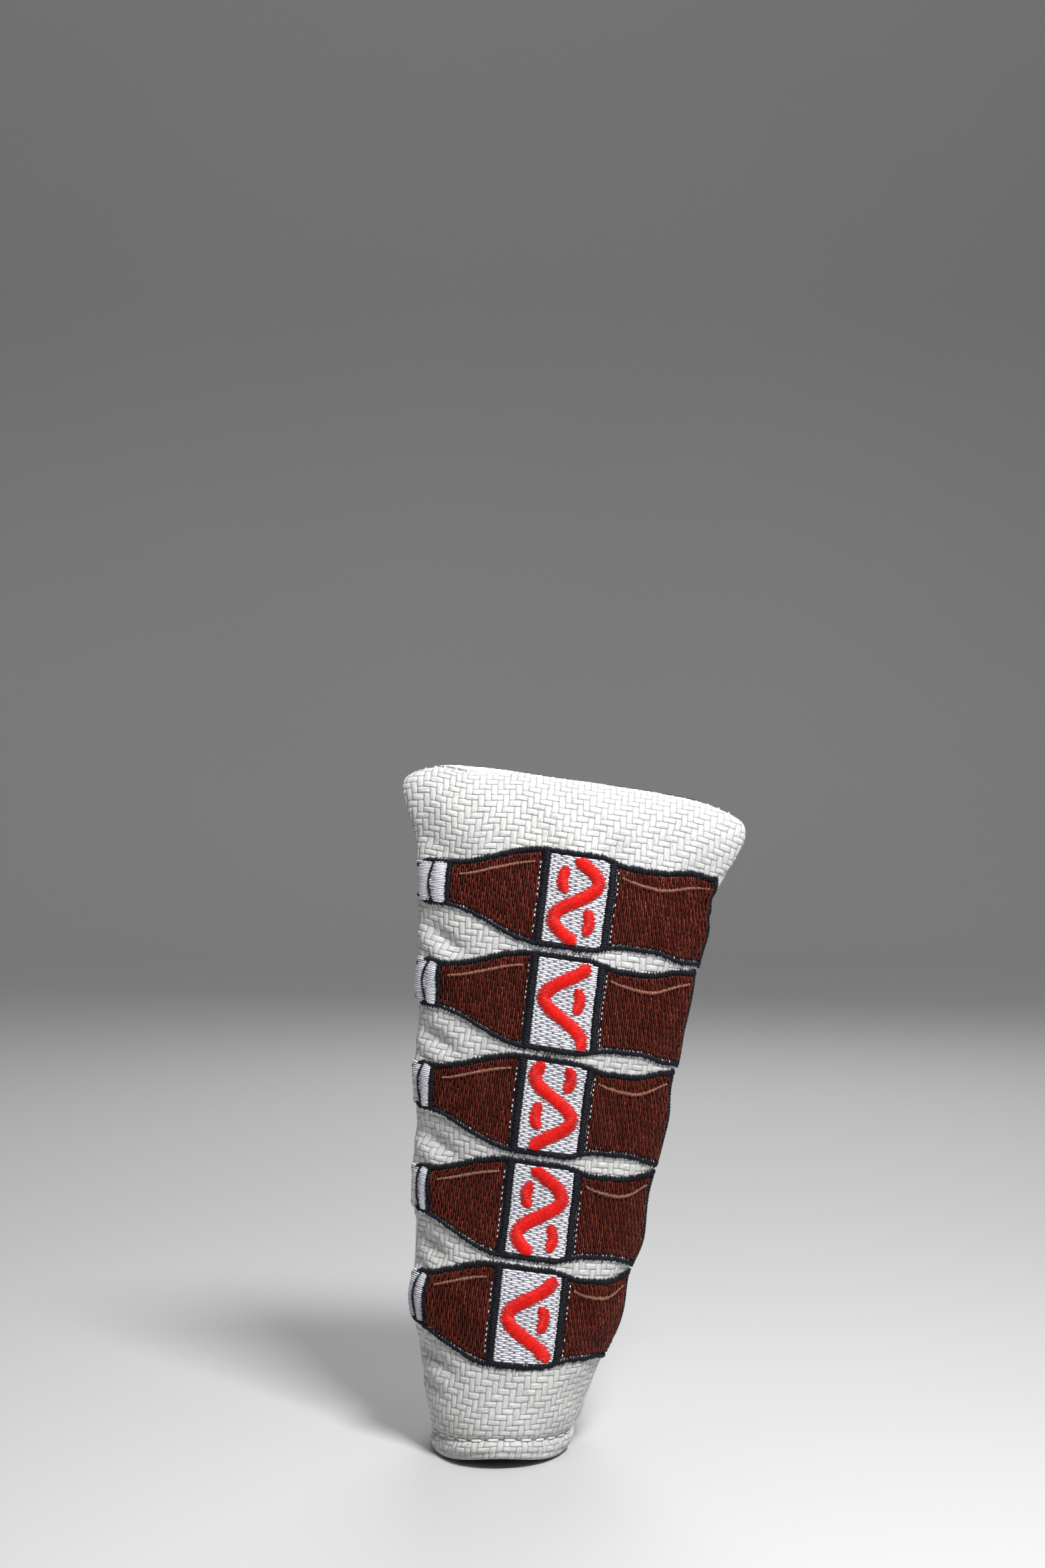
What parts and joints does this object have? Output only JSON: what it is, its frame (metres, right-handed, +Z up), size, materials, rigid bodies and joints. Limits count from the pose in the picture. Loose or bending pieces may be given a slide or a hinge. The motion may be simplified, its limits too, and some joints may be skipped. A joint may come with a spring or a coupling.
{
  "type": "putter head cover",
  "caption": "Padded leather sleeve for a blade putter head, open at the mouth, with a column of embroidered bottles and a magnetic closure flap at the back.",
  "frame": {"origin": "centre of the oval mouth, in the plane of its rim, on which the cover stands", "axes": "+Z up from the mouth to the closed top, -Y out of the embroidered front, +X to the right seen from the front, which is the side the cover leans to"},
  "size_m": [0.0775, 0.0447, 0.1497],
  "materials": {
    "woven_leather": "satin",
    "smooth_leather": "satin",
    "backing_cloth": "matte",
    "foam": "matte",
    "plush": "matte",
    "binding_tape": "matte",
    "brown_thread": "satin",
    "black_thread": "satin",
    "tan_thread": "satin",
    "white_thread": "satin",
    "red_thread": "satin",
    "sewing_thread": "satin",
    "magnet": "plated",
    "facing_cloth": "matte"
  },
  "bodies": {
    "cover": {"front_panel": "woven_leather", "back_panel": "smooth_leather", "embroidery_backing": "backing_cloth", "front_padding": "foam", "back_padding": "foam", "front_lining": "plush", "back_lining": "plush", "slit_binding": "binding_tape", "bottle_fill_thread": "brown_thread", "bottle_outline_thread": "black_thread", "bottle_highlight_thread": "tan_thread", "cap_thread": "white_thread", "label_thread": "white_thread", "label_ornament_thread": "red_thread", "front_hem_stitching": "sewing_thread", "back_hem_stitching": "sewing_thread", "top_seam_stitching": "sewing_thread", "body_magnets": "magnet", "flap_seam_strip": "smooth_leather", "flap_seam_stitching": "sewing_thread"},
    "flap": {"closure_flap": "smooth_leather", "flap_facing": "facing_cloth", "flap_core": "foam", "flap_magnets": "magnet", "flap_edge_stitching": "sewing_thread", "flap_ornament_thread": "red_thread"}
  },
  "joints": [
    {"name": "flap_hinge", "type": "hinge", "parent": "cover", "child": "flap", "pos_m": [-0.00634, 0.0225, 0.00119], "axis": [0.0558, -0.1215, 0.991], "range_deg": [0, 110]}
  ]
}
